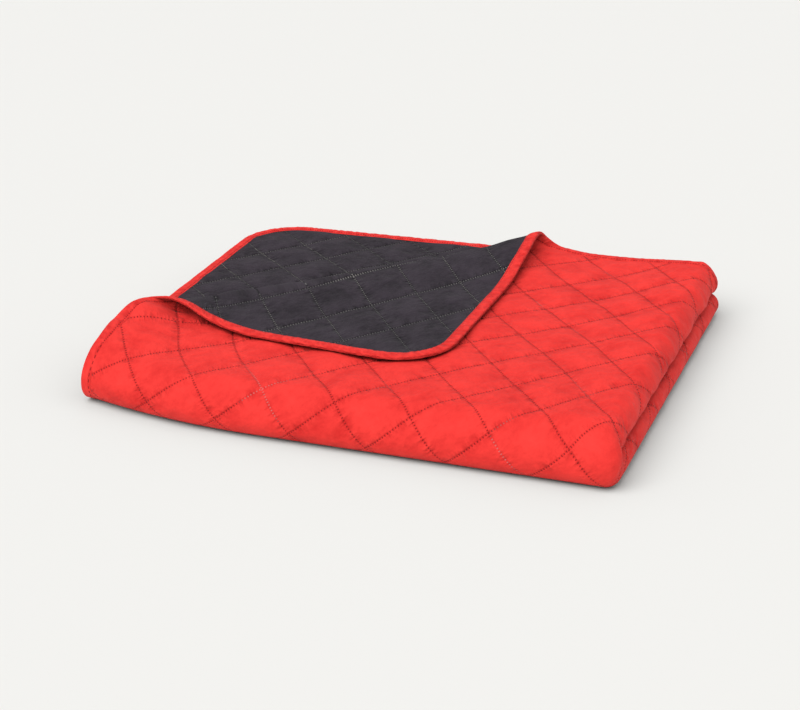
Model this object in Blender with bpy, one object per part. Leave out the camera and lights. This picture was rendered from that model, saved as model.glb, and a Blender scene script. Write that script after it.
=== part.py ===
"""Quilted bedspread folded to a stack of sixteen layers, one corner of its top layer turned back.

The cloth is first drawn flat: u runs along its length, v along its width, and w is the height above
the middle of its thickness, red side up. Four folds in half bring it to the stack, the corner at
u = 0, v = 0 is turned back over a loose roll, and a gentle warp makes the stack uneven.
In the stack X runs to the right, Y to the back and Z up. Sizes are in metres.
"""
import math

import bmesh
import bpy
import numpy as np

# The flat cloth: red face and dark reverse with a narrow binding sewn round the edge
LENGTH = 2.44
WIDTH = 2.00
CORNER_RADIUS = 0.070
CORNER_CHORDS = 4
PANEL_THICKNESS = 0.0013
PIECE_GAP = 0.0003
EDGE_GAP = 0.0005
BINDING_WIDTH = 0.011
QUILT_THICKNESS = 2 * PANEL_THICKNESS + PIECE_GAP

# The quilting: diamonds whose diagonal is the pitch, turned a little from the cloth's edges
DIAMOND_PITCH = 0.0855
DIAMOND_ORIGIN = (0.0445, 0.478)
DIAMOND_SKEW = math.radians(2.05)
DIAMOND_RISE = 0.0016

# Distance between layers, wider inside each pair that the first fold makes
LOOSE_PITCH = 0.0039
TIGHT_PITCH = 0.0037

# Radius of each fold at the middle of what it bends, from the first fold to the last
RADIUS_FIRST = LOOSE_PITCH / 2
RADIUS_SECOND = RADIUS_FIRST + TIGHT_PITCH / 2
RADIUS_SIDE = RADIUS_SECOND + RADIUS_FIRST + TIGHT_PITCH / 2
RADIUS_FRONT = RADIUS_SIDE + RADIUS_SECOND + RADIUS_FIRST + TIGHT_PITCH / 2
HALF_STACK = RADIUS_FRONT + RADIUS_SIDE + RADIUS_SECOND + RADIUS_FIRST
STACK_X = LENGTH / 4
STACK_Y = WIDTH / 4
STACK_Z = 2 * HALF_STACK + QUILT_THICKNESS

# Flat steps in each bend
FIRST_STEPS = 3
SIDE_STEPS = 4
FRONT_STEPS = 6

# The turned corner: where its ridge meets the left and back edges, and the roll along it
RIDGE_BACK = 0.395
RIDGE_LEFT = 0.370
RIDGE_LENGTH = math.hypot(RIDGE_BACK, RIDGE_LEFT)
ROLL_MIDDLE = 0.0075
ROLL_LEFT = 0.0115
ROLL_BACK = 0.0115
BOW_LEFT = 0.032
BOW_BACK = 0.006
BOW_RAMP_LEFT = 0.0774
BOW_RAMP_BACK = 0.12
LEFT_SHARE = (0.05, 0.50)
FLAP_REST = 0.0072
FLAP_SLOPE = 0.14
FLAP_EASE = 1.11
ROLL_CUTS = (-0.060, -0.020, -0.015, -0.010, -0.005, 0.0, 0.005, 0.010, 0.015, 0.020, 0.040, 0.080)

# Unevenness: height of the four corners of the stack over its plain height
HEIGHT_BACK_LEFT = 1.00
HEIGHT_BACK_RIGHT = 1.11
BACK_DIP = 0.10
DIP_AT = 0.75
HEIGHT_FRONT_LEFT = 0.81
HEIGHT_FRONT_RIGHT = 1.02
SIDE_PINCH = 0.004

# The front roll leans out at its top, less at the left end
FRONT_FORWARD = 0.0165
LEAN_LEFT = 0.15
LEAN_RIGHT = 0.36
LEAN_LEVEL = 0.020
LEAN_REACH = 0.21
FRONT_BAND = (-0.205, -0.100)

# The left end of the front roll draws back from the line of the rest
RECEDE = 0.029
RECEDE_FROM = -0.10
RECEDE_REACH = 0.20

# The upper half of the stack is set in a little at its right side
SIDE_INSET = 0.007
INSET_LEVEL = (0.028, 0.062)
INSET_X = (0.200, 0.290)

# The left edge of the top layer draws in and lifts where it rises into the turned corner:
# how far, the middle of it along the edge and its reach there, then how far in from the edge
TUCK = (0.0391, 0.3528, 0.0602)
TUCK_LIFT = (0.0160, 0.3867, 0.0247)
FRONT_LIFT = (0.0063, 0.4753, 0.0252)
TUCK_FADE = 0.12
LIFT_FADE = 0.030

# The top layer stands up in a soft bulge at the left end of the front roll
BULGE_RISE = 0.017
BULGE_WIDTH = 0.070
BULGE_FRONT = (-0.252, -0.175)
BULGE_BACK = (-0.157, -0.060)
BULGE_U = (0.035, 0.080)
BULGE_V = (0.330, 0.365, 0.400, 0.435)

# It also lifts where the roll reaches the back edge
CREST_RISE = 0.0065
CREST_X = 0.081
CREST_WIDTH = 0.036
CREST_BACK = (0.100, 0.250)
CREST_U = (0.37, 0.40, 0.43)
CREST_V = (0.040, 0.090)

# The diamonds fade out over these distances at the end of a bend and at the roll
BEND_FADE = 0.020
FACE_FADE = (-0.060, -0.030)
REVERSE_FADE = (-0.010, 0.010)
BEHIND_FADE = (0.0, 0.030)

# Steepest slope of an eased step against a straight one, and the finest detail of the mesh
EASE_STEEPEST = 1.5
POKE_AREA = 0.0009
SNAP = 0.0001


def smooth(start, end, value):
    """0 before start, 1 past end, eased between"""
    part = np.clip((value - start) / (end - start), 0, 1)
    return part * part * (3 - 2 * part)


def fold(along, height, middle, radius):
    """fold in half at middle: the far part comes back underneath, upside down"""
    start = middle - math.pi * radius / 2
    angle = np.clip((along - start) / radius, 0, math.pi)
    past = np.maximum(along - start - math.pi * radius, 0)
    reach = radius + height
    return np.minimum(along, start) + reach * np.sin(angle) - past, reach * np.cos(angle)


def ridge_coordinates(u, v):
    """distance past the ridge towards the corner, and share of the way along it from the left edge"""
    past = -(RIDGE_LEFT * u + RIDGE_BACK * (v - RIDGE_LEFT)) / RIDGE_LENGTH
    along = (RIDGE_BACK * u - RIDGE_LEFT * (v - RIDGE_LEFT)) / RIDGE_LENGTH ** 2
    return past, along


def turn_corner(u, v, w):
    """the top layer with its corner turned back over the roll: x, y from the corner, and height"""
    past, along = ridge_coordinates(u, v)
    ends = np.abs(2 * np.clip(along, 0, 1) - 1)
    roll_end = np.where(along < 0.5, ROLL_LEFT, ROLL_BACK)
    radius = ROLL_MIDDLE + (roll_end - ROLL_MIDDLE) * ends ** 3
    half = math.pi * radius / 2
    angle = np.clip((past + half) / radius, 0, math.pi)
    beyond = np.maximum(past - half, 0)
    left = 1 - smooth(*LEFT_SHARE, along)
    start = -BOW_RAMP_LEFT * left - (half + BOW_RAMP_BACK) * (1 - left)
    level = past + (half - radius) * smooth(start, -half, past)
    level = np.where(past < -half, level, -radius)
    drop = 2 * radius - FLAP_REST
    bow_left = BOW_LEFT * smooth(-BOW_RAMP_LEFT, 0, past)
    bow_back = BOW_BACK * smooth(-BOW_RAMP_BACK, 0, past)
    bow = np.where(along < 0.5, bow_left, bow_back) * ends ** 2 * (1 - smooth(0, BOW_RAMP_BACK, beyond))
    run = level + (radius - w) * np.sin(angle) - FLAP_EASE * beyond + bow
    height = radius * (1 - np.cos(angle)) + w * np.cos(angle)
    height -= drop * smooth(0, EASE_STEEPEST * drop / FLAP_SLOPE, beyond)
    x = (RIDGE_BACK * RIDGE_LENGTH * along - RIDGE_LEFT * run) / RIDGE_LENGTH
    y = RIDGE_LEFT - (RIDGE_LEFT * RIDGE_LENGTH * along + RIDGE_BACK * run) / RIDGE_LENGTH
    return x, y, height


def bulge(x, y):
    """share of the top layer's rise at the left end of the front roll"""
    across = np.exp(-((x + STACK_X / 2) / BULGE_WIDTH) ** 2)
    return across * smooth(*BULGE_FRONT, y) * (1 - smooth(*BULGE_BACK, y))


def crest(x, y):
    """share of the top layer's rise where the roll reaches the back edge"""
    return np.exp(-((x - CREST_X) / CREST_WIDTH) ** 2) * smooth(*CREST_BACK, y)


def warp(x, y, z):
    """make the plain stack uneven, its underside kept flat"""
    right = x / STACK_X + 0.5
    back = y / STACK_Y + 0.5
    front_height = HEIGHT_FRONT_LEFT * (1 - right) + HEIGHT_FRONT_RIGHT * right
    back_height = HEIGHT_BACK_LEFT * (1 - right) + HEIGHT_BACK_RIGHT * right
    back_height -= BACK_DIP * (1 - np.abs(1 - np.clip((right - 0.5) / (DIP_AT - 0.5), 0, 2)))
    height = front_height * (1 - back) + back_height * back
    pinch = SIDE_PINCH * back * np.sin(np.pi * np.clip(z / STACK_Z, 0, 1))
    lean = LEAN_LEFT + (LEAN_RIGHT - LEAN_LEFT) * np.clip((x + STACK_X / 2) / LEAN_REACH, 0, 1)
    front = 1 - smooth(*FRONT_BAND, y)
    recede = RECEDE * np.clip((RECEDE_FROM - x) / RECEDE_REACH, 0, 1) ** 2
    x = x - SIDE_INSET * smooth(*INSET_LEVEL, z) * smooth(*INSET_X, x)
    return x, y + front * (lean * (z - LEAN_LEVEL) - FRONT_FORWARD + recede), z * height - pinch


def hump(place, rise, middle, reach):
    """a smooth swell: how high, where its middle is and how wide"""
    return rise * np.exp(-((place - middle) / reach) ** 2)


def folded(points):
    """positions in the stack of points (u, v, w) of the flat cloth"""
    u, v, w = points.T
    y, z = fold(v, w, WIDTH / 2, RADIUS_FIRST)
    x, z = fold(u, z, LENGTH / 2, RADIUS_SECOND)
    x, z = fold(x, z, STACK_X, RADIUS_SIDE)
    y, z = fold(y, z, STACK_Y, RADIUS_FRONT)
    z = z + STACK_Z / 2
    top = (u < STACK_X - math.pi * RADIUS_SIDE / 2) & (v < STACK_Y - math.pi * RADIUS_FRONT / 2)
    flap_x, flap_y, flap_z = turn_corner(u, v, w)
    x = np.where(top, flap_x, x) - STACK_X / 2
    y = STACK_Y / 2 - np.where(top, flap_y, y)
    z = np.where(top, STACK_Z - QUILT_THICKNESS / 2 + flap_z, z)
    outermost = (u < STACK_X) & (v < STACK_Y)
    rise = np.where(outermost, BULGE_RISE * bulge(x, y) + CREST_RISE * crest(x, y), 0)
    x, y, z = warp(x, y, z)
    x = x + outermost * hump(u, 1, 0, TUCK_FADE) * hump(v, *TUCK)
    rise = rise + outermost * hump(u, 1, 0, LIFT_FADE) * (hump(v, *TUCK_LIFT) + hump(v, *FRONT_LIFT))
    return np.stack([x, y, z + rise], axis=1)


def quilt_lines():
    """the two directions across the stitching lines, and the distance between lines"""
    angles = (DIAMOND_SKEW + math.pi / 4, DIAMOND_SKEW - math.pi / 4)
    return [(math.cos(a), math.sin(a)) for a in angles], DIAMOND_PITCH / math.sqrt(2)


def puff(u, v):
    """height of the diamonds: none on the stitching, most in the middle of each"""
    directions, spacing = quilt_lines()
    rise = DIAMOND_RISE
    for nu, nv in directions:
        lines = ((u - DIAMOND_ORIGIN[0]) * nu + (v - DIAMOND_ORIGIN[1]) * nv) / spacing
        rise = rise * np.sqrt(np.abs(np.sin(np.pi * lines)))
    return rise


def face_puff(u, v):
    """diamonds on the red face where it shows, on top and down the front"""
    past, along = ridge_coordinates(u, v)
    side_end = STACK_X + math.pi * RADIUS_SIDE / 2
    front_end = STACK_Y + math.pi * RADIUS_FRONT / 2
    before_side = 1 - smooth(side_end - BEND_FADE, side_end, u)
    before_front = 1 - smooth(front_end - BEND_FADE, front_end, v)
    return puff(u, v) * before_side * before_front * (1 - smooth(*FACE_FADE, past))


def reverse_puff(u, v):
    """diamonds on the dark reverse where it shows, on the turned corner and on the layer behind it"""
    past, along = ridge_coordinates(u, v)
    behind, along = ridge_coordinates(u, WIDTH - v)
    shown = smooth(*REVERSE_FADE, past) * (v < STACK_Y) + smooth(*BEHIND_FADE, behind) * (v > 3 * STACK_Y)
    return puff(u, v) * shown


def edge_distance(u, v):
    """distance from the cloth's edge, its round corners taken as chords"""
    u = min(u, LENGTH - u)
    v = min(v, WIDTH - v)
    if u > CORNER_RADIUS or v > CORNER_RADIUS:
        return min(u, v)
    step = math.pi / 2 / CORNER_CHORDS
    across = []
    for i in range(CORNER_CHORDS):
        angle = (i + 0.5) * step
        across.append((CORNER_RADIUS - u) * math.cos(angle) + (CORNER_RADIUS - v) * math.sin(angle))
    return CORNER_RADIUS - max(across) / math.cos(step / 2)


def cut(bm, point, normal, where=None, clear=False):
    """cut the flat cloth along a line, in the faces whose middle passes the test"""
    faces = [f for f in bm.faces if where is None or where(f.calc_center_median())]
    edges = list(dict.fromkeys(e for f in faces for e in f.edges))
    verts = list(dict.fromkeys(v for f in faces for v in f.verts))
    bmesh.ops.bisect_plane(bm, geom=verts + edges + faces, dist=SNAP, plane_co=(*point, 0),
                           plane_no=(*normal, 0), clear_outer=clear)


def bend_lines(middle, radius, steps):
    """lines across a bend, one at each end and one for each flat step"""
    start = middle - math.pi * radius / 2
    return [start + math.pi * radius * i / steps for i in range(steps + 1)]


def cut_folds(bm):
    """lines where the folds bend, in the middle of each flat stretch and along the dip"""
    for i, radius, steps in ((1, RADIUS_SIDE, SIDE_STEPS), (2, RADIUS_SECOND, SIDE_STEPS),
                             (3, RADIUS_SIDE, SIDE_STEPS)):
        for u in bend_lines(i * STACK_X, radius, steps):
            cut(bm, (u, 0), (1, 0))
    for i, radius, steps in ((1, RADIUS_FRONT, FRONT_STEPS), (2, RADIUS_FIRST, FIRST_STEPS),
                             (3, RADIUS_FRONT, FRONT_STEPS)):
        for v in bend_lines(i * STACK_Y, radius, steps):
            cut(bm, (0, v), (0, 1))
    for i in range(4):
        cut(bm, ((i + 0.5) * STACK_X, 0), (1, 0))
        cut(bm, (0, (i + 0.5) * STACK_Y), (0, 1))
    for i in (0, 2):
        cut(bm, ((i + DIP_AT) * STACK_X, 0), (1, 0))
        cut(bm, ((i + 2 - DIP_AT) * STACK_X, 0), (1, 0))


def cut_edges(bm):
    """inner and outer outline of the binding, with round corners"""
    for inset in (BINDING_WIDTH, BINDING_WIDTH + EDGE_GAP):
        for u in (inset, LENGTH - inset):
            cut(bm, (u, 0), (1, 0))
        for v in (inset, WIDTH - inset):
            cut(bm, (0, v), (0, 1))
    step = math.pi / 2 / CORNER_CHORDS
    for u_side, v_side in ((0, 0), (1, 0), (0, 1), (1, 1)):
        u = LENGTH - CORNER_RADIUS if u_side else CORNER_RADIUS
        v = WIDTH - CORNER_RADIUS if v_side else CORNER_RADIUS
        u_sign = 1 if u_side else -1
        v_sign = 1 if v_side else -1
        cut(bm, (u, v), (1, 0), lambda p: (p.y - v) * v_sign > -STACK_Y / 2)
        cut(bm, (u, v), (0, 1), lambda p: (p.x - u) * u_sign > 0)

        def in_corner(p):
            return (p.x - u) * u_sign > 0 and (p.y - v) * v_sign > 0

        for inset in (0, BINDING_WIDTH, BINDING_WIDTH + EDGE_GAP):
            for i in range(CORNER_CHORDS):
                normal = (u_sign * math.cos((i + 0.5) * step), v_sign * math.sin((i + 0.5) * step))
                reach = (CORNER_RADIUS - inset) * math.cos(step / 2)
                point = (u + normal[0] * reach, v + normal[1] * reach)
                cut(bm, point, normal, in_corner, inset == 0)


def on_top(p):
    """the outermost layer, from the free edges over the side and front bends"""
    return p.x < STACK_X + math.pi * RADIUS_SIDE / 2 and p.y < STACK_Y + math.pi * RADIUS_FRONT / 2


def behind_ridge(p):
    """the bare corner of the second layer"""
    return p.y > WIDTH - RIDGE_LEFT and p.x < RIDGE_BACK and ridge_coordinates(p.x, WIDTH - p.y)[0] > 0


def cut_detail(bm):
    """lines along the roll, over the bulge and along the stitching"""
    near = STACK_X - math.pi * RADIUS_SIDE / 2
    for u in BULGE_U:
        cut(bm, (u, 0), (1, 0), lambda p: p.x < STACK_X / 4 and BULGE_V[0] < p.y < STACK_Y)
    for v in BULGE_V:
        cut(bm, (0, v), (0, 1), lambda p: p.x < STACK_X / 2 and p.y < STACK_Y)
    for u in CREST_U:
        cut(bm, (u, 0), (1, 0), lambda p: p.y < CREST_V[-1] and STACK_X / 2 < p.x < near)
    for v in CREST_V:
        cut(bm, (0, v), (0, 1), lambda p: STACK_X / 2 < p.x < DIP_AT * STACK_X and p.y < STACK_Y / 2)
    normal = (-RIDGE_LEFT / RIDGE_LENGTH, -RIDGE_BACK / RIDGE_LENGTH)
    for past in ROLL_CUTS:
        point = (normal[0] * past, RIDGE_LEFT + normal[1] * past)
        cut(bm, point, normal, lambda p: p.x < near and p.y < STACK_Y)
    directions, spacing = quilt_lines()
    reach = math.ceil(math.hypot(LENGTH, WIDTH) / spacing)
    for normal in directions:
        for i in range(-reach, reach + 1):
            away = spacing * i
            point = (DIAMOND_ORIGIN[0] + normal[0] * away, DIAMOND_ORIGIN[1] + normal[1] * away)
            cut(bm, point, normal, lambda p: on_top(p) or behind_ridge(p))


def split_quads(bm):
    """divide each four-sided face along the diagonal that points the same way in every folded layer"""
    for face in [f for f in bm.faces if len(f.verts) == 4]:
        def folded_sum(vert):
            x = STACK_X - abs(STACK_X - vert.co.x % (2 * STACK_X))
            y = STACK_Y - abs(STACK_Y - vert.co.y % (2 * STACK_Y))
            return x + y
        first = min(face.verts, key=folded_sum)
        last = max(face.verts, key=folded_sum)
        if not any(first in e.verts and last in e.verts for e in face.edges):
            bmesh.utils.face_split(face, first, last)
    bmesh.ops.triangulate(bm, faces=bm.faces[:])


def flat_cloth():
    """the whole cloth as one flat sheet of triangles, cut along every line that it folds or puffs at"""
    bm = bmesh.new()
    bmesh.ops.create_grid(bm, x_segments=1, y_segments=1, size=0.5)
    bmesh.ops.translate(bm, vec=(0.5, 0.5, 0), verts=bm.verts)
    bmesh.ops.scale(bm, vec=(LENGTH, WIDTH, 1), verts=bm.verts)
    cut_folds(bm)
    cut_edges(bm)
    cut_detail(bm)
    shown = []
    for f in bm.faces:
        middle = f.calc_center_median()
        if f.calc_area() > POKE_AREA and (on_top(middle) or behind_ridge(middle)):
            shown.append(f)
    bmesh.ops.poke(bm, faces=shown)
    split_quads(bm)
    return bm


def add_piece(collection, cloth, name, inset, low, high, material):
    """one sewn piece: its share of the flat cloth made thick from low to high, then folded"""
    bm = cloth.copy()
    doomed = []
    for f in bm.faces:
        middle = f.calc_center_median()
        if not inset[0] < edge_distance(middle.x, middle.y) < inset[1]:
            doomed.append(f)
    bmesh.ops.delete(bm, geom=doomed, context='FACES')
    raised = bmesh.ops.extrude_face_region(bm, geom=bm.faces[:], use_keep_orig=True)
    raised = {v for v in raised['geom'] if isinstance(v, bmesh.types.BMVert)}
    bmesh.ops.recalc_face_normals(bm, faces=bm.faces)
    points = []
    for v in bm.verts:
        surface = high if v in raised else low
        points.append((v.co.x, v.co.y, surface(v.co.x, v.co.y)))
    for v, place in zip(bm.verts, folded(np.array(points))):
        v.co = place
    if bm.calc_volume(signed=True) < 0:
        bmesh.ops.reverse_faces(bm, faces=bm.faces)
    mesh = bpy.data.meshes.new(name)
    bm.to_mesh(mesh)
    bm.free()
    mesh.materials.append(material)
    piece = bpy.data.objects.new(name, mesh)
    collection.objects.link(piece)
    return piece


def fabric(name, colour, roughness):
    """a plain matt cloth"""
    material = bpy.data.materials.new(name)
    material.use_nodes = True
    shader = material.node_tree.nodes["Principled BSDF"]
    shader.inputs["Base Color"].default_value = (*colour, 1)
    shader.inputs["Roughness"].default_value = roughness
    shader.inputs["Metallic"].default_value = 0
    return material


def centre(pieces):
    """bring the middle of the underside to the origin"""
    corners = np.array([v.co for piece in pieces for v in piece.data.vertices])
    middle = (corners.min(axis=0) + corners.max(axis=0)) / 2
    for piece in pieces:
        for v in piece.data.vertices:
            v.co.x -= middle[0]
            v.co.y -= middle[1]


for old in list(bpy.data.objects):
    bpy.data.objects.remove(old)

bedspread = bpy.data.collections.new("quilted_bedspread")
bpy.context.scene.collection.children.link(bedspread)
red = fabric("red_cotton", (0.78, 0.045, 0.035), 0.85)
dark = fabric("charcoal_cotton", (0.045, 0.042, 0.052), 0.90)
tape = fabric("red_tape", (0.62, 0.020, 0.022), 0.80)

cloth = flat_cloth()
panels = (BINDING_WIDTH + EDGE_GAP, WIDTH)
face = add_piece(bedspread, cloth, "face_panel", panels,
                 lambda u, v: PIECE_GAP / 2,
                 lambda u, v: PIECE_GAP / 2 + PANEL_THICKNESS + face_puff(u, v), red)
reverse = add_piece(bedspread, cloth, "reverse_panel", panels,
                    lambda u, v: -PIECE_GAP / 2 - PANEL_THICKNESS - reverse_puff(u, v),
                    lambda u, v: -PIECE_GAP / 2, dark)
binding = add_piece(bedspread, cloth, "binding", (0, BINDING_WIDTH),
                    lambda u, v: -QUILT_THICKNESS / 2,
                    lambda u, v: QUILT_THICKNESS / 2, tape)
cloth.free()
centre([face, reverse, binding])
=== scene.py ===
"""The folded bedspread dressed for its picture: quilted red face, charcoal reverse and red binding.

Each piece of cloth is drawn flat in u along its length and v along its width, with w above the middle
of the thickness, and then folded the way its solid in the frame is. Sizes are in metres.
"""
import math

import bmesh
import bpy
import numpy as np
from mathutils import Matrix, Vector, noise


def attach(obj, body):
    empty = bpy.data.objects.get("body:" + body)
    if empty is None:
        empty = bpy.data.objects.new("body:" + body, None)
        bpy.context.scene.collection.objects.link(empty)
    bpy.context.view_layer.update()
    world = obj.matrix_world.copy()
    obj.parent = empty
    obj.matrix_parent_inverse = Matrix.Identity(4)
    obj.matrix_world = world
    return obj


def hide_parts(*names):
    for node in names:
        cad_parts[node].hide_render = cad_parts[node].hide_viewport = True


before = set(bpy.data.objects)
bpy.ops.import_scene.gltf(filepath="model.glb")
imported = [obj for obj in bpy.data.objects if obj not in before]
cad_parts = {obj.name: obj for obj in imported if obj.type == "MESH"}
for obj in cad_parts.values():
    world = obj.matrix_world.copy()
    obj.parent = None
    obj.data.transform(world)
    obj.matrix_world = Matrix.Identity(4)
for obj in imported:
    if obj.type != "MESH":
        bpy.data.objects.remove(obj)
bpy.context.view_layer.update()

# Red face
# The outer cloth of the quilt, fine plain cotton stitched through the wadding in diamonds.
# It goes over the top, down the front roll and round the side rolls of the folded stack.
LENGTH = 2.44
WIDTH = 2.00
CORNER_RADIUS = 0.070
QUILT_THICKNESS = 0.0029
PANEL_INSET = 0.003

# How far the folded stack moves to have the middle of its box over the origin
CENTRE = (0.00009, 0.00625)

# The diamonds: their diagonal, a place where two seams cross, their turn, and how much they stand up
DIAMOND_PITCH = 0.0856
DIAMOND_ORIGIN = (0.0421, 0.4676)
DIAMOND_SKEW = math.radians(3.6)
DIAMOND_SPACING = DIAMOND_PITCH / math.sqrt(2)
DIAMOND_RISE = 0.0036
STITCH_DIP = 0.0022
RELIEF_MIDDLE = 0.0013
EDGE_FLAT = 0.013
EDGE_FULL = 0.032

# They aren't quite even: closer at the front roll, and at a slant on the turned corner
FRONT_DRAW = (0.0091, 0.0150)
FRONT_DRAW_U = (0.360, 0.530)
FRONT_DRAW_V = (0.300, 0.530)
FLAP_FROM = (0.1783, 0.0882)
FLAP_TO = (0.1959, 0.0903)
FLAP_ACROSS = (0.842, -0.106)
FLAP_BACK = (-0.048, 1.058)
FLAP_FADE = 0.03

# Distance between layers, wider inside each pair that the first fold makes
LOOSE_PITCH = 0.0039
TIGHT_PITCH = 0.0037

# Radius of each fold at the middle of what it bends, from the first fold to the last
RADIUS_FIRST = LOOSE_PITCH / 2
RADIUS_SECOND = RADIUS_FIRST + TIGHT_PITCH / 2
RADIUS_SIDE = RADIUS_SECOND + RADIUS_FIRST + TIGHT_PITCH / 2
RADIUS_FRONT = RADIUS_SIDE + RADIUS_SECOND + RADIUS_FIRST + TIGHT_PITCH / 2
HALF_STACK = RADIUS_FRONT + RADIUS_SIDE + RADIUS_SECOND + RADIUS_FIRST
STACK_X = LENGTH / 4
STACK_Y = WIDTH / 4
STACK_Z = 2 * HALF_STACK + QUILT_THICKNESS

# The turned corner: where its ridge meets the left and back edges, the roll along it, and the flap
RIDGE_BACK = 0.395
RIDGE_LEFT = 0.370
RIDGE_LENGTH = math.hypot(RIDGE_BACK, RIDGE_LEFT)
ROLL_MIDDLE = 0.0075
ROLL_END = 0.0115
BOW_LEFT = 0.032
BOW_BACK = 0.006
BOW_RAMP_LEFT = 0.0774
BOW_RAMP_BACK = 0.12
LEFT_SHARE = (0.05, 0.50)
FLAP_REST = 0.0072
FLAP_SLOPE = 0.14
FLAP_EASE = 1.11
EASE_STEEPEST = 1.5

# The uneven stack: its height at each corner, the lean of its front roll, and its drawn-in right side
HEIGHT_BACK_LEFT = 1.00
HEIGHT_BACK_RIGHT = 1.11
BACK_DIP = 0.10
DIP_AT = 0.75
HEIGHT_FRONT_LEFT = 0.81
HEIGHT_FRONT_RIGHT = 1.02
SIDE_PINCH = 0.004
FRONT_FORWARD = 0.0165
LEAN_LEFT = 0.15
LEAN_RIGHT = 0.36
LEAN_LEVEL = 0.020
LEAN_REACH = 0.21
FRONT_BAND = (-0.205, -0.100)
RECEDE = 0.029
RECEDE_FROM = -0.10
RECEDE_REACH = 0.20
SIDE_INSET = 0.010
INSET_LEVEL = (0.028, 0.062)
INSET_X = (0.200, 0.290)

# Swells of the top layer's left edge, each with its rise, its middle and its reach along the edge
TUCK = (0.0391, 0.3528, 0.0602)
TUCK_LIFT = (0.0160, 0.3867, 0.0247)
FRONT_LIFT = (0.0063, 0.4753, 0.0252)
TUCK_FADE = 0.12
LIFT_FADE = 0.030

# The top layer also stands up at the left end of the front roll and where the ridge meets the back
BULGE_RISE = 0.017
BULGE_WIDTH = 0.070
BULGE_FRONT = (-0.252, -0.175)
BULGE_BACK = (-0.157, -0.060)
CREST_RISE = 0.0050
CREST_X = 0.081
CREST_WIDTH = 0.036
CREST_BACK = (0.100, 0.250)

# Soft waves all over the cloth: how long each way, a seed, and how high
WAVE_LONG = (0.060, 0.045, 3.1)
WAVE_LONG_RISE = 0.0009
WAVE_SHORT = (0.022, 0.018, 7.7)
WAVE_SHORT_RISE = 0.0004

# Gathers in the mouth of the roll and round the right side
GATHER_MOUTH = 0.0030
MOUTH_U = (0.050, 0.040)
MOUTH_PAST = (-0.028, 0.028)
MOUTH_WAVE = (0.028, 0.060, 2.5)
GATHER_SIDE = 0.0009
SIDE_U = (0.612, 0.020)
SIDE_WAVE = (0.040, 0.009, 6.2)

# The relief ends where the face turns in between layers and lies on the floor, and is calmer nearby
INWARD_U = (0.612, 0.620)
INWARD_V = (0.98, 1.0)
UNDER_U = (0.604, 0.612)
UNDER_V = (0.496, 0.512)
CALM = 0.6
CALM_PAST = (-0.02, 0)
CALM_V = (0.52, 0.56)

# Steps between grid lines: fine where the cloth shows, coarse inside the stack, even round each bend
FINE = 0.0032
COARSE = 0.030
SIDE_STEP = 0.009
BEND_STEPS = 12
FACE_SPANS_U = [(0, 0.565, FINE), (0.565, 0.655, FINE)]
FACE_SPANS_V = [(0, 0.565, FINE), (0.565, 1.0, SIDE_STEP)]


def smooth(start, end, value):
    """0 before start, 1 past end, eased between"""
    part = np.clip((value - start) / (end - start), 0, 1)
    return part * part * (3 - 2 * part)


def fold(along, height, middle, radius):
    """fold in half at middle: the far part comes back underneath, upside down"""
    start = middle - math.pi * radius / 2
    angle = np.clip((along - start) / radius, 0, math.pi)
    past = np.maximum(along - start - math.pi * radius, 0)
    reach = radius + height
    return np.minimum(along, start) + reach * np.sin(angle) - past, reach * np.cos(angle)


def ridge_coordinates(u, v):
    """distance past the ridge towards the corner, and share of the way along it from the left edge"""
    past = -(RIDGE_LEFT * u + RIDGE_BACK * (v - RIDGE_LEFT)) / RIDGE_LENGTH
    along = (RIDGE_BACK * u - RIDGE_LEFT * (v - RIDGE_LEFT)) / RIDGE_LENGTH ** 2
    return past, along


def turn_corner(u, v, w):
    """the top layer with its corner turned back over the roll: x, y from the corner, and height"""
    past, along = ridge_coordinates(u, v)
    ends = np.abs(2 * np.clip(along, 0, 1) - 1)
    radius = ROLL_MIDDLE + (ROLL_END - ROLL_MIDDLE) * ends ** 3
    half = math.pi * radius / 2
    angle = np.clip((past + half) / radius, 0, math.pi)
    beyond = np.maximum(past - half, 0)
    left = 1 - smooth(*LEFT_SHARE, along)
    start = -BOW_RAMP_LEFT * left - (half + BOW_RAMP_BACK) * (1 - left)
    level = np.where(past < -half, past + (half - radius) * smooth(start, -half, past), -radius)
    drop = 2 * radius - FLAP_REST
    bow_left = BOW_LEFT * smooth(-BOW_RAMP_LEFT, 0, past)
    bow_back = BOW_BACK * smooth(-BOW_RAMP_BACK, 0, past)
    bow = np.where(along < 0.5, bow_left, bow_back) * ends ** 2 * (1 - smooth(0, BOW_RAMP_BACK, beyond))
    run = level + (radius - w) * np.sin(angle) - FLAP_EASE * beyond + bow
    height = radius * (1 - np.cos(angle)) + w * np.cos(angle)
    height -= drop * smooth(0, EASE_STEEPEST * drop / FLAP_SLOPE, beyond)
    x = (RIDGE_BACK * RIDGE_LENGTH * along - RIDGE_LEFT * run) / RIDGE_LENGTH
    y = RIDGE_LEFT - (RIDGE_LEFT * RIDGE_LENGTH * along + RIDGE_BACK * run) / RIDGE_LENGTH
    return x, y, height


def bulge(x, y):
    """share of the top layer's rise at the left end of the front roll"""
    across = np.exp(-((x + STACK_X / 2) / BULGE_WIDTH) ** 2)
    return across * smooth(*BULGE_FRONT, y) * (1 - smooth(*BULGE_BACK, y))


def crest(x, y):
    """share of the top layer's rise where the roll reaches the back edge"""
    return np.exp(-((x - CREST_X) / CREST_WIDTH) ** 2) * smooth(*CREST_BACK, y)


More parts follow.
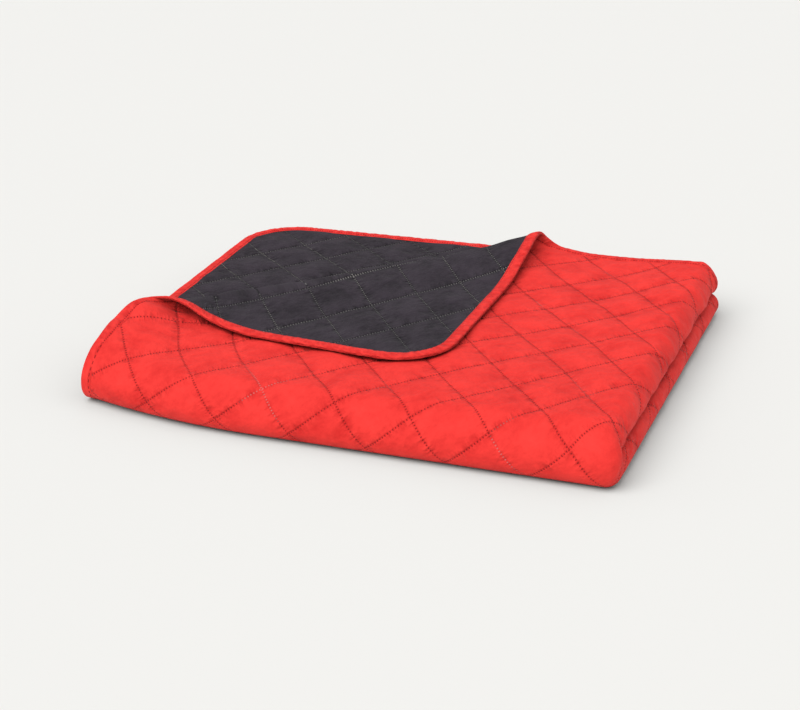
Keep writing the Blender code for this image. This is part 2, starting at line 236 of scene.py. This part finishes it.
def warp(x, y, z):
    """make the plain stack uneven, its underside kept flat"""
    right = x / STACK_X + 0.5
    back = y / STACK_Y + 0.5
    front_height = HEIGHT_FRONT_LEFT * (1 - right) + HEIGHT_FRONT_RIGHT * right
    back_height = HEIGHT_BACK_LEFT * (1 - right) + HEIGHT_BACK_RIGHT * right
    back_height -= BACK_DIP * smooth(0.5, DIP_AT, right) * (1 - smooth(DIP_AT, 1, right))
    height = front_height * (1 - back) + back_height * back
    pinch = SIDE_PINCH * back * np.sin(np.pi * np.clip(z / STACK_Z, 0, 1))
    lean = LEAN_LEFT + (LEAN_RIGHT - LEAN_LEFT) * np.clip((x + STACK_X / 2) / LEAN_REACH, 0, 1)
    front = 1 - smooth(*FRONT_BAND, y)
    recede = RECEDE * np.clip((RECEDE_FROM - x) / RECEDE_REACH, 0, 1) ** 2
    x = x - SIDE_INSET * smooth(*INSET_LEVEL, z) * smooth(*INSET_X, x)
    return x, y + front * (lean * (z - LEAN_LEVEL) - FRONT_FORWARD + recede), z * height - pinch


def hump(place, rise, middle, reach):
    """a smooth swell: how high, where its middle is and how wide"""
    return rise * np.exp(-((place - middle) / reach) ** 2)


def folded(u, v, w):
    """positions in the stack of points of the flat cloth"""
    y, z = fold(v, w, WIDTH / 2, RADIUS_FIRST)
    x, z = fold(u, z, LENGTH / 2, RADIUS_SECOND)
    x, z = fold(x, z, STACK_X, RADIUS_SIDE)
    y, z = fold(y, z, STACK_Y, RADIUS_FRONT)
    z = z + STACK_Z / 2
    top = (u < STACK_X - math.pi * RADIUS_SIDE / 2) & (v < STACK_Y - math.pi * RADIUS_FRONT / 2)
    flap_x, flap_y, flap_z = turn_corner(u, v, w)
    x = np.where(top, flap_x, x) - STACK_X / 2
    y = STACK_Y / 2 - np.where(top, flap_y, y)
    z = np.where(top, STACK_Z - QUILT_THICKNESS / 2 + flap_z, z)
    outermost = (u < STACK_X) & (v < STACK_Y)
    rise = np.where(outermost, BULGE_RISE * bulge(x, y) + CREST_RISE * crest(x, y), 0)
    x, y, z = warp(x, y, z)
    x = x + outermost * hump(u, 1, 0, TUCK_FADE) * hump(v, *TUCK)
    rise = rise + outermost * hump(u, 1, 0, LIFT_FADE) * (hump(v, *TUCK_LIFT) + hump(v, *FRONT_LIFT))
    return np.stack([x + CENTRE[0], y + CENTRE[1], z + rise], axis=1)


def sewn_place(u, v):
    """place on the cloth as it was sewn: the outer layer takes more of it round the front and side rolls"""
    for_front = (HALF_STACK + QUILT_THICKNESS / 2) / RADIUS_FRONT - 1
    for_side = (RADIUS_SECOND + RADIUS_FIRST + QUILT_THICKNESS / 2) / RADIUS_SIDE
    front_start, front_end, step = BENDS_V[0]
    side_start, side_end, step = BENDS_U[0]
    more_u = for_side * np.clip(u - side_start, 0, side_end - side_start)
    more_v = for_front * np.clip(v - front_start, 0, front_end - front_start)
    past, along = ridge_coordinates(u, v)
    turned = smooth(0, FLAP_FADE, past) * (v < STACK_Y)
    from_u = u - FLAP_FROM[0]
    from_v = v - FLAP_FROM[1]
    flap_u = FLAP_TO[0] + FLAP_ACROSS[0] * from_u + FLAP_ACROSS[1] * from_v
    flap_v = FLAP_TO[1] + FLAP_BACK[0] * from_u + FLAP_BACK[1] * from_v
    plain_u = u + more_u - FRONT_DRAW[0] * smooth(*FRONT_DRAW_U, v)
    plain_v = v + more_v - FRONT_DRAW[1] * smooth(*FRONT_DRAW_V, v)
    return plain_u + turned * (flap_u - plain_u), plain_v + turned * (flap_v - plain_v)


def edge_distance(u, v):
    """distance in from the edge of the cloth, round at its corners"""
    near_u = CORNER_RADIUS - np.minimum(u, LENGTH - u)
    near_v = CORNER_RADIUS - np.minimum(v, WIDTH - v)
    in_corner = (near_u > 0) & (near_v > 0)
    return CORNER_RADIUS - np.where(in_corner, np.hypot(near_u, near_v), np.maximum(near_u, near_v))


def quilt_distances(u, v):
    """distance to the nearest stitching line of each direction"""
    distances = []
    u, v = sewn_place(u, v)
    for angle in (DIAMOND_SKEW + math.pi / 4, DIAMOND_SKEW - math.pi / 4):
        across = (u - DIAMOND_ORIGIN[0]) * math.cos(angle) + (v - DIAMOND_ORIGIN[1]) * math.sin(angle)
        distances.append(np.abs((across / DIAMOND_SPACING + 0.5) % 1 - 0.5) * DIAMOND_SPACING)
    return distances


def puff(u, v):
    """height of the diamonds, drawn in on the stitching and full in the middle of each"""
    rise = DIAMOND_RISE
    for distance in quilt_distances(u, v):
        rounded = np.sqrt(distance ** 2 + STITCH_DIP ** 2) - STITCH_DIP
        rise = rise * np.sqrt(np.clip(rounded / (DIAMOND_SPACING / 2), 0, 1))
    return (rise - RELIEF_MIDDLE) * smooth(EDGE_FLAT, EDGE_FULL, edge_distance(u, v))


def ripples(u, v, wave_u, wave_v, seed):
    """uneven waves over the cloth from -1 to 1, about this long each way"""
    return np.array([noise.noise(Vector((a / wave_u, b / wave_v, seed))) for a, b in zip(u, v)])


def bend_span(middle, radius):
    """a stretch of the cloth that bends, with its step between grid lines"""
    reach = math.pi * radius
    return middle - reach / 2, middle + reach / 2, reach / BEND_STEPS


def grid_lines(size, spans):
    """places of the lines across one side of the flat cloth: as close in each span as its step asks"""
    places = [0.0]
    while places[-1] < size:
        here = places[-1]
        step = min([COARSE] + [step for start, end, step in spans if start <= here < end])
        ahead = [start for start, end, step in spans if start > here]
        places.append(min([here + step] + ahead))
    return np.array(places) * size / places[-1]


def place_vertices(bm, places, layer, mapped):
    """move the vertices of a grid to their places, and write a pair of coordinates in its UV layer"""
    bm.verts.index_update()
    for f in bm.faces:
        for loop in f.loops:
            loop[layer].uv = (mapped[0][loop.vert.index], mapped[1][loop.vert.index])
    for vert, place in zip(bm.verts, places):
        vert.co = place


def add_object(name, bm):
    """turn what was drawn into an object of the scene"""
    mesh = bpy.data.meshes.new(name)
    bm.to_mesh(mesh)
    bm.free()
    made = bpy.data.objects.new(name, mesh)
    bpy.context.scene.collection.objects.link(made)
    return made


BENDS_U = [bend_span(STACK_X, RADIUS_SIDE), bend_span(2 * STACK_X, RADIUS_SECOND),
           bend_span(3 * STACK_X, RADIUS_SIDE)]
BENDS_V = [bend_span(STACK_Y, RADIUS_FRONT), bend_span(2 * STACK_Y, RADIUS_FIRST),
           bend_span(3 * STACK_Y, RADIUS_FRONT)]


def panel(name, spans_u, spans_v, height, face_up):
    """one cloth of the quilt: a grid drawn flat, its corners rounded, then folded"""
    lines_u = grid_lines(LENGTH, BENDS_U + spans_u)
    lines_v = grid_lines(WIDTH, BENDS_V + spans_v)
    bm = bmesh.new()
    flat_uv = bm.loops.layers.uv.new("flat")
    columns = len(lines_u) - 1
    rows = len(lines_v) - 1
    bmesh.ops.create_grid(bm, x_segments=columns, y_segments=rows, size=0.5)
    corners = np.array([v.co for v in bm.verts])
    u = lines_u[np.rint((corners[:, 0] + 0.5) * columns).astype(int)]
    v = lines_v[np.rint((corners[:, 1] + 0.5) * rows).astype(int)]
    u, v = round_corners(u, v)
    place_vertices(bm, folded(u, v, height(u, v)), flat_uv, sewn_place(u, v))
    if not face_up:
        bmesh.ops.reverse_faces(bm, faces=bm.faces)
    piece = add_object(name, bm)
    piece.data.shade_smooth()
    return piece


def round_corners(u, v):
    """draw the square corners of the grid in to round ones, a little inside the binding"""
    u = PANEL_INSET + u * (LENGTH - 2 * PANEL_INSET) / LENGTH
    v = PANEL_INSET + v * (WIDTH - 2 * PANEL_INSET) / WIDTH
    radius = CORNER_RADIUS - PANEL_INSET
    past_u = np.abs(u - LENGTH / 2) - (LENGTH / 2 - CORNER_RADIUS)
    past_v = np.abs(v - WIDTH / 2) - (WIDTH / 2 - CORNER_RADIUS)
    inside = (past_u > 0) & (past_v > 0)
    longer = np.maximum(past_u, past_v)
    shrink = np.where(inside, longer / np.hypot(past_u, past_v).clip(1e-9), 1)
    u = u - np.sign(u - LENGTH / 2) * np.where(inside, past_u * (1 - shrink), 0)
    v = v - np.sign(v - WIDTH / 2) * np.where(inside, past_v * (1 - shrink), 0)
    return u, v


def relief(u, v):
    """height of the diamonds and of the soft waves over them"""
    waves = WAVE_LONG_RISE * ripples(u, v, *WAVE_LONG) + WAVE_SHORT_RISE * ripples(u, v, *WAVE_SHORT)
    return puff(u, v) + waves


def face_height(u, v):
    """the red face over the middle of the cloth"""
    past, along = ridge_coordinates(u, v)
    outside = (1 - smooth(*INWARD_U, u)) * (1 - smooth(*INWARD_V, v))
    outside = outside * (1 - smooth(*UNDER_V, v) * (1 - smooth(*UNDER_U, u)))
    calm = (1 - CALM * smooth(*CALM_PAST, past)) * (1 - CALM * smooth(*CALM_V, v))
    mouth = hump(u, GATHER_MOUTH, *MOUTH_U) * hump(past, 1, *MOUTH_PAST) * ripples(along, past, *MOUTH_WAVE)
    side = hump(u, GATHER_SIDE, *SIDE_U) * ripples(u, v, *SIDE_WAVE)
    return QUILT_THICKNESS / 2 + outside * (calm * relief(u, v) + mouth + side)


class Signal:
    """a socket of a material; sums with it add the nodes that work them out"""

    def __init__(self, tree, socket=None):
        self.tree = tree
        self.socket = socket

    def node(self, kind, settings=None, inputs=None, output=0):
        """add any node: its kind, its settings, then the values or links of its sockets"""
        made = self.tree.nodes.new(kind)
        for name, value in (settings or {}).items():
            setattr(made, name, value)
        for name, value in (inputs or {}).items():
            if isinstance(value, Signal):
                self.tree.links.new(value.socket, made.inputs[name])
            else:
                made.inputs[name].default_value = value
        return Signal(self.tree, made.outputs[output])

    def maths(self, operation, *others):
        """what a maths node makes of this and the others"""
        return self.node("ShaderNodeMath", {"operation": operation}, dict(enumerate((self, *others))))

    def __add__(self, other):
        return self.maths("ADD", other)

    def __sub__(self, other):
        return self.maths("SUBTRACT", other)

    def __mul__(self, other):
        return self.maths("MULTIPLY", other)

    def __truediv__(self, other):
        return self.maths("DIVIDE", other)

    def ease(self, start, end):
        """0 at start, 1 at end, eased between"""
        return self.node("ShaderNodeMapRange", {"interpolation_type": 'SMOOTHSTEP'},
                         {"Value": self, "From Min": start, "From Max": end})

    def blend(self, first, second):
        """colour from first to second, with this as the factor"""
        return self.node("ShaderNodeMix", {"data_type": 'RGBA'}, {0: self, 6: first, 7: second}, 2)


def feed(shader, name, signal):
    """link a signal to a socket of the shader"""
    signal.tree.links.new(signal.socket, shader.inputs[name])


# Stitches: their length and the width of their thread, and where each of them fades out
STITCH_LENGTH = 0.0034
STITCH_WIDTH = 0.0018
DOT_FADE = (0.22, 0.12)
THREAD_FADE = (0.6, 0.4)
THREAD_COVER = 0.9

# Relief of the cloth that is too fine to draw: puckers and a groove at the seams, creases, the weave
PUCKER_REACH = 0.011
PUCKER_HEIGHT = 0.0034
GROOVE_REACH = 0.0022
GROOVE_DEPTH = 0.0008
CREASE_HEIGHT = 0.0024
FOLD_HEIGHT = 0.0014
FINE_HEIGHT = 0.00015
WEAVE_HEIGHT = 0.00002
WEAVE_PITCH = 0.00055

# How much each kind of relief lightens or darkens the colour as painted shade, from a middle shade, and
# changes the roughness
PUCKER_SHADE = 0.5
CREASE_SHADE = 0.45
FOLD_SHADE = 0.30
FINE_SHADE = 0.2
MIDDLE_SHADE = 0.66
FINE_ROUGHNESS = 0.05
LOW_SHINE = 0.15


def stitching(u, v):
    """distances to both sets of stitching lines, the places along them, and where thread shows"""
    across = []
    for angle in (DIAMOND_SKEW + math.pi / 4, DIAMOND_SKEW - math.pi / 4):
        offset = DIAMOND_ORIGIN[0] * math.cos(angle) + DIAMOND_ORIGIN[1] * math.sin(angle)
        across.append(u * math.cos(angle) + v * math.sin(angle) - offset)
    distances = [a.maths("PINGPONG", DIAMOND_SPACING / 2) for a in across]
    thread = 0
    for distance, along in zip(distances, reversed(across)):
        dash = along.maths("PINGPONG", STITCH_LENGTH / 2)
        dot = dash.ease(STITCH_LENGTH * DOT_FADE[0], STITCH_LENGTH * DOT_FADE[1])
        dot = dot * distance.ease(STITCH_WIDTH * THREAD_FADE[0], STITCH_WIDTH * THREAD_FADE[1])
        thread = dot + thread
    return across, distances, thread.maths("MINIMUM", 1)


def plain_cotton(name, uv_layer, roughness, sheen):
    """a new material for matt cotton: itself, its shader, and both coordinates of a UV layer"""
    material = bpy.data.materials.new(name)
    material.use_nodes = True
    shader = material.node_tree.nodes["Principled BSDF"]
    shader.inputs["Roughness"].default_value = roughness
    shader.inputs["Specular IOR Level"].default_value = LOW_SHINE
    shader.inputs["Sheen Weight"].default_value = sheen
    flat = Signal(material.node_tree).node("ShaderNodeUVMap", {"uv_map": uv_layer})
    return material, shader, [flat.node("ShaderNodeSeparateXYZ", {}, {0: flat}, i) for i in (0, 1)]


def bump(height):
    """the slope that a height gives the surface"""
    return height.node("ShaderNodeBump", {}, {"Height": height, "Strength": 1, "Distance": 1})


def thrown(colour, dull):
    """the colour of the cloth, and a duller one for the light that it throws on what lies near it"""
    return colour.node("ShaderNodeLightPath", output="Is Diffuse Ray").blend(colour, dull)


def quilted_cotton(name, colours, threads, lit_patches, dull, relief_share, seam_shade, roughness, sheen):
    """plain woven cotton drawn in along lines of stitching, a little creased between them"""
    material, shader, (u, v) = plain_cotton(name, "flat", roughness, sheen)
    across, distances, thread = stitching(u, v)

    def texture(scale_a, scale_b, detail, seed):
        """noise from -1 to 1 with this many waves a metre across each set of lines"""
        place = u.node("ShaderNodeCombineXYZ", {}, {0: across[0] * scale_a, 1: across[1] * scale_b, 2: seed})
        settings = {"Vector": place, "Scale": 1, "Detail": detail, "Roughness": 0.55}
        return u.node("ShaderNodeTexNoise", {}, settings) * 2 - 1

    near = [distance.ease(PUCKER_REACH, 0.0) for distance in distances]
    puckers = near[0] * texture(45, 150, 2, 1.3) + near[1] * texture(150, 45, 2, 5.9)
    groove = distances[0].ease(GROOVE_REACH, 0.0) + distances[1].ease(GROOVE_REACH, 0.0)
    creases = texture(28, 21, 4, 9.2)
    folds = texture(70, 50, 3, 4.7)
    fine = texture(160, 160, 3, 2.2)
    waves = [(place * 2 * math.pi / WEAVE_PITCH).maths("SINE") for place in (u, v)]
    height = puckers * PUCKER_HEIGHT - groove * GROOVE_DEPTH + creases * CREASE_HEIGHT + folds * FOLD_HEIGHT
    height = height + fine * FINE_HEIGHT + waves[0] * waves[1] * WEAVE_HEIGHT
    feed(shader, "Normal", bump(height * relief_share))
    # Painted shade: the colour is darker in the hollows of the creases, folds and puckers and lighter on
    # their crests, from the same noise as the bump
    relief_shade = creases * CREASE_SHADE + folds * FOLD_SHADE + fine * FINE_SHADE + puckers * PUCKER_SHADE
    cloth = (relief_shade + MIDDLE_SHADE).ease(0, 1).blend(*colours)
    # Painted shade in the stitch grooves: there the colour is drawn towards the darker end, as far as
    # seam_shade says
    groove_shaded = (groove * seam_shade).blend(cloth, colours[0])
    lit_thread = texture(14, 14, 1, 6.6).ease(*lit_patches).blend(*threads)
    feed(shader, "Base Color", thrown((thread * THREAD_COVER).blend(groove_shaded, lit_thread), dull))
    feed(shader, "Roughness", fine * FINE_ROUGHNESS + roughness)
    return material


# The red lit on the crests and in painted shade in the hollows and stitch grooves: the painted shade runs
# between these two
RED_LIT = (0.91, 0.045, 0.037, 1)
RED_SHADED = (0.60, 0.014, 0.013, 1)
RED_THROWN = (0.14, 0.09, 0.09, 1)
RED_THREAD = (0.24, 0.005, 0.006, 1)
RED_THREAD_LIT = (0.66, 0.16, 0.15, 1)

face = panel("face_cloth", FACE_SPANS_U, FACE_SPANS_V, face_height, face_up=False)
face.data.materials.append(quilted_cotton(
    "red_cotton", (RED_SHADED, RED_LIT), (RED_THREAD, RED_THREAD_LIT), lit_patches=(0.20, 0.50),
    dull=RED_THROWN, relief_share=1, seam_shade=0.24, roughness=0.70, sheen=0.02))
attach(face, "root")
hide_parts("face_panel")

# Charcoal reverse
# The lining cloth of the quilt, the same fine cotton in charcoal, seen where the corner is turned back
# and on the bare corner of the layer behind it.
REVERSE_STEP = 0.003
REVERSE_SPANS_U = [(0, 0.42, REVERSE_STEP)]
REVERSE_SPANS_V = [(0, 0.40, REVERSE_STEP), (1.60, 2.0, REVERSE_STEP)]
RIDGE_FADE = (-0.01, 0.01)

# The charcoal lit on the crests and in painted shade in the hollows and stitch grooves; the shaded one is
# also the duller colour it throws
CHARCOAL_LIT = (0.043, 0.033, 0.044, 1)
CHARCOAL_SHADED = (0.005, 0.004, 0.0055, 1)
CHARCOAL_THREAD = (0.130, 0.120, 0.122, 1)
CHARCOAL_THREAD_LIT = (0.27, 0.25, 0.24, 1)


def reverse_height(u, v):
    """the reverse below the middle of the cloth, puffed where it shows"""
    past, along = ridge_coordinates(u, v)
    behind, along = ridge_coordinates(u, WIDTH - v)
    shown = smooth(*RIDGE_FADE, past) * (v < STACK_Y) + smooth(0, FLAP_FADE, behind) * (v > 3 * STACK_Y)
    return -QUILT_THICKNESS / 2 - shown * relief(u, v)


reverse = panel("reverse_cloth", REVERSE_SPANS_U, REVERSE_SPANS_V, reverse_height, face_up=True)
reverse.data.materials.append(quilted_cotton(
    "charcoal_cotton", (CHARCOAL_SHADED, CHARCOAL_LIT), (CHARCOAL_THREAD, CHARCOAL_THREAD_LIT),
    lit_patches=(-0.30, 0.50), dull=CHARCOAL_SHADED, relief_share=1.6, seam_shade=0.75, roughness=0.80,
    sheen=0.04))
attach(reverse, "root")
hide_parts("reverse_panel")

# Binding
# A narrow red cotton tape folded over the raw edge all round and sewn through near its inner side,
# which puckers it a little. It goes through every fold with the two cloths.
BINDING_WIDTH = 0.0125
TAPE_LIFT = 0.0004
TAPE_LIFT_SHOWN = 0.0007
TAPE_PUCKER = 0.0007
PUCKER = 0.0075
TAPE_WANDER = 0.0006
WANDER_LENGTH = 0.03

# Shares of the tape's section, counted from the edge of the cloth to where the tape is sewn down
WRAP = 0.22
WRAP_POWER = 1.15
FULL_AT = 0.5
SEWN_DOWN = (0.93, 1.0)
LIFT_FROM = (0.15, 0.4)
LIFT_TO = (0.9, 1)
SEAM_AT = 0.90

# Where the tape shows, on the top layer and on the one behind it, and the steps along it
SHOWN_TOP = (0.64, 0.56)
SHOWN_BEHIND = (0.45, 1.58)
SHOWN_MARGIN = 0.01
BEND_STEP = 0.0017
SHOWN_STEP = 0.0022
HIDDEN_STEP = 0.010
TAPE_ROWS = 18
NEARLY = 1e-9
JOIN = 0.00002

SIDES = (LENGTH - 2 * CORNER_RADIUS, WIDTH - 2 * CORNER_RADIUS)
QUARTER = math.pi / 2 * CORNER_RADIUS
PERIMETER = 2 * sum(SIDES) + 4 * QUARTER


def edge_point(along, inset):
    """u, v at this distance round the edge from the end of the first corner, this far in from it"""
    u = np.zeros_like(along)
    v = np.zeros_like(along)
    begin = 0.0
    corners = ((LENGTH, 0), (LENGTH, WIDTH), (0, WIDTH), (0, 0))
    for i, (corner_u, corner_v) in enumerate(corners):
        heading = np.array([(1, 0), (0, 1), (-1, 0), (0, -1)][i])
        outward = np.array([(0, -1), (1, 0), (0, 1), (-1, 0)][i])
        side = SIDES[i % 2]
        middle = np.array([abs(corner_u - CORNER_RADIUS), abs(corner_v - CORNER_RADIUS)])
        here = (along >= begin) & (along <= begin + side)
        reach = (along - begin - side)[here]
        place = middle[:, None] + heading[:, None] * reach + outward[:, None] * (CORNER_RADIUS - inset[here])
        u[here], v[here] = place
        begin += side
        here = (along > begin) & (along <= begin + QUARTER + NEARLY)
        turn = ((along - begin) / CORNER_RADIUS)[here]
        spoke = outward[:, None] * np.cos(turn) + heading[:, None] * np.sin(turn)
        u[here], v[here] = middle[:, None] + spoke * (CORNER_RADIUS - inset[here])
        begin += QUARTER
    return u, v


def tape_profile(part):
    """inset and height of the tape's section, part from 0 on the face side to 1 on the reverse side"""
    side = 1 - 2 * part
    depth = np.abs(side)
    inset = BINDING_WIDTH * np.clip((depth - WRAP) / (1 - WRAP), 0, 1) ** WRAP_POWER
    full = np.sin(np.clip(depth / FULL_AT, 0, 1) * math.pi / 2)
    lift = TAPE_LIFT * (1 - smooth(*SEWN_DOWN, depth))
    return inset, np.sign(side) * full * (QUILT_THICKNESS / 2 + lift), depth


def in_sight(u, v, margin):
    """whether the tape shows here: at the top layer's edge or at the corner of the layer behind it"""
    on_top = (u < SHOWN_TOP[0] + margin) & (v < SHOWN_TOP[1] + margin)
    return on_top | ((u < SHOWN_BEHIND[0]) & (v > SHOWN_BEHIND[1]))


def in_bend(place, bends):
    """whether a place along one side of the cloth lies in a bend or close to one"""
    return any(start - SHOWN_MARGIN < place < end + SHOWN_MARGIN for start, end, step in bends)


def tape_lines():
    """places of the lines across the tape, round the whole edge"""
    places = []
    here = 0.0
    while here < PERIMETER:
        places.append(here)
        u, v = [float(a[0]) for a in edge_point(np.array([here]), np.zeros(1))]
        if in_bend(u, BENDS_U) or in_bend(v, BENDS_V):
            here += BEND_STEP
        elif in_sight(u, v, SHOWN_MARGIN):
            here += SHOWN_STEP
        else:
            here += HIDDEN_STEP
    return np.array(places + [PERIMETER])


def binding_tape():
    """a strip round the whole edge, folded with the cloth"""
    lines = tape_lines()
    columns = len(lines) - 1
    bm = bmesh.new()
    tape_uv = bm.loops.layers.uv.new("tape")
    bmesh.ops.create_grid(bm, x_segments=columns, y_segments=TAPE_ROWS, size=0.5)
    corners = np.array([v.co for v in bm.verts])
    along = lines[np.rint((corners[:, 0] + 0.5) * columns).astype(int)]
    part = corners[:, 1] + 0.5
    inset, height, depth = tape_profile(part)
    shown = in_sight(*edge_point(along, inset), 0)
    loop_along = np.where(along >= PERIMETER - NEARLY, 0, along)
    gathers = ripples(loop_along, part, PUCKER / 2, 0.9, 4.4)
    wander = TAPE_WANDER * ripples(loop_along, part * 0, WANDER_LENGTH, 1, 8.1)
    lift = np.where(shown, TAPE_LIFT_SHOWN + TAPE_PUCKER * gathers, 0)
    lift = lift * smooth(*LIFT_FROM, depth) * (1 - smooth(*LIFT_TO, depth))
    u, v = edge_point(along, inset + wander)
    place_vertices(bm, folded(u, v, height + np.sign(height) * lift), tape_uv, (along, part))
    bmesh.ops.remove_doubles(bm, verts=bm.verts, dist=JOIN)
    piece = add_object("binding_tape", bm)
    piece.data.shade_smooth()
    return piece


# The tape's own gathers slant across it; widths across it are shares of its section
TAPE_SLANT = 0.004
TAPE_WAVES = (150, 4)
TAPE_SEED = 3.3
TAPE_DOT_FADE = (0.32, 0.22)
TAPE_THREAD_FADE = (0.035, 0.02)
TAPE_GATHER_HEIGHT = 0.0016
TAPE_GROOVE_REACH = 0.12
TAPE_GROOVE_DEPTH = 0.0005
# How much the gathers lighten or darken the tape as painted shade, from a middle shade
TAPE_GATHER_SHADE = 0.8
TAPE_MIDDLE_SHADE = 0.55


def tape_cotton():
    """the same cotton, cut on the cross, with its own row of stitches"""
    material, shader, (along, part) = plain_cotton("red_tape", "tape", roughness=0.7, sheen=0.03)
    depth = (part * 2 - 1).maths("ABSOLUTE")
    slant = (along + depth * TAPE_SLANT) * TAPE_WAVES[0]
    place = along.node("ShaderNodeCombineXYZ", {}, {0: slant, 1: part * TAPE_WAVES[1], 2: TAPE_SEED})
    gathers = along.node("ShaderNodeTexNoise", {}, {"Vector": place, "Scale": 1, "Detail": 3}) * 2 - 1
    row = (depth - SEAM_AT).maths("ABSOLUTE")
    dash = along.maths("PINGPONG", STITCH_LENGTH / 2)
    dot = dash.ease(STITCH_LENGTH * TAPE_DOT_FADE[0], STITCH_LENGTH * TAPE_DOT_FADE[1])
    thread = dot * row.ease(*TAPE_THREAD_FADE)
    groove = row.ease(TAPE_GROOVE_REACH, 0.0)
    feed(shader, "Normal", bump(gathers * TAPE_GATHER_HEIGHT - groove * TAPE_GROOVE_DEPTH))
    # Painted shade: the tape is darker in the hollows of its gathers and lighter on their crests
    cloth = (gathers * TAPE_GATHER_SHADE + TAPE_MIDDLE_SHADE).ease(0, 1).blend(RED_SHADED, RED_LIT)
    feed(shader, "Base Color", thrown((thread * THREAD_COVER).blend(cloth, RED_THREAD), RED_THROWN))
    return material


binding = binding_tape()
binding.data.materials.append(tape_cotton())
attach(binding, "root")
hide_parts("binding")

# Floor
# A plain pale surface that runs out of the picture on every side.
FLOOR_SIZE = 30
FLOOR_COLOUR = (0.80, 0.795, 0.772, 1)
FLOOR_ROUGHNESS = 0.9

plane = bmesh.new()
bmesh.ops.create_grid(plane, x_segments=1, y_segments=1, size=FLOOR_SIZE / 2)
floor = add_object("floor", plane)
paint = bpy.data.materials.new("pale_floor")
paint.use_nodes = True
paint.node_tree.nodes["Principled BSDF"].inputs["Base Color"].default_value = FLOOR_COLOUR
paint.node_tree.nodes["Principled BSDF"].inputs["Roughness"].default_value = FLOOR_ROUGHNESS
floor.data.materials.append(paint)

# Light
# A very wide soft light from the front left, a weaker one from the right, and a pale room all round.
# The plain view transform keeps the red as strong as in the photograph.
KEY_FROM = (-0.34, -0.70, 1.15)
KEY_STRENGTH = 2.22
FILL_FROM = (0.9, -0.1, 1.3)
FILL_STRENGTH = 0.36
SPREAD = math.radians(62)
ROOM_STRENGTH = 0.45


def soft_light(name, come_from, strength):
    """an even light from one direction, as wide as a large softbox"""
    light = bpy.data.lights.new(name, 'SUN')
    light.angle = SPREAD
    light.energy = strength
    lamp = bpy.data.objects.new(name, light)
    bpy.context.scene.collection.objects.link(lamp)
    lamp.location = come_from
    lamp.rotation_euler = (-Vector(come_from)).to_track_quat('-Z', 'Y').to_euler()


soft_light("key_light", KEY_FROM, KEY_STRENGTH)
soft_light("fill_light", FILL_FROM, FILL_STRENGTH)
world = bpy.data.worlds.new("pale_room")
bpy.context.scene.world = world
world.use_nodes = True
world.node_tree.nodes["Background"].inputs["Color"].default_value = (1, 1, 1, 1)
world.node_tree.nodes["Background"].inputs["Strength"].default_value = ROOM_STRENGTH
bpy.context.scene.view_settings.view_transform = 'Standard'

# Camera
# Where the photograph was taken from, a little over a metre and a half in front and 22 degrees up.
CAMERA_PLACE = (0.66040, -1.80648, 0.80170)
CAMERA_RIGHT = Vector((0.93789, 0.34675, -0.01118))
CAMERA_UP = Vector((-0.12292, 0.36229, 0.92392))
CAMERA_LENS = 80.29
SENSOR_WIDTH = 36

camera = bpy.data.objects.new("camera", bpy.data.cameras.new("camera"))
bpy.context.scene.collection.objects.link(camera)
camera.data.lens = CAMERA_LENS
camera.data.sensor_width = SENSOR_WIDTH
camera.data.sensor_fit = 'HORIZONTAL'
turn = Matrix((CAMERA_RIGHT, CAMERA_UP, CAMERA_RIGHT.cross(CAMERA_UP))).transposed().to_4x4()
camera.matrix_world = Matrix.Translation(CAMERA_PLACE) @ turn
bpy.context.scene.camera = camera
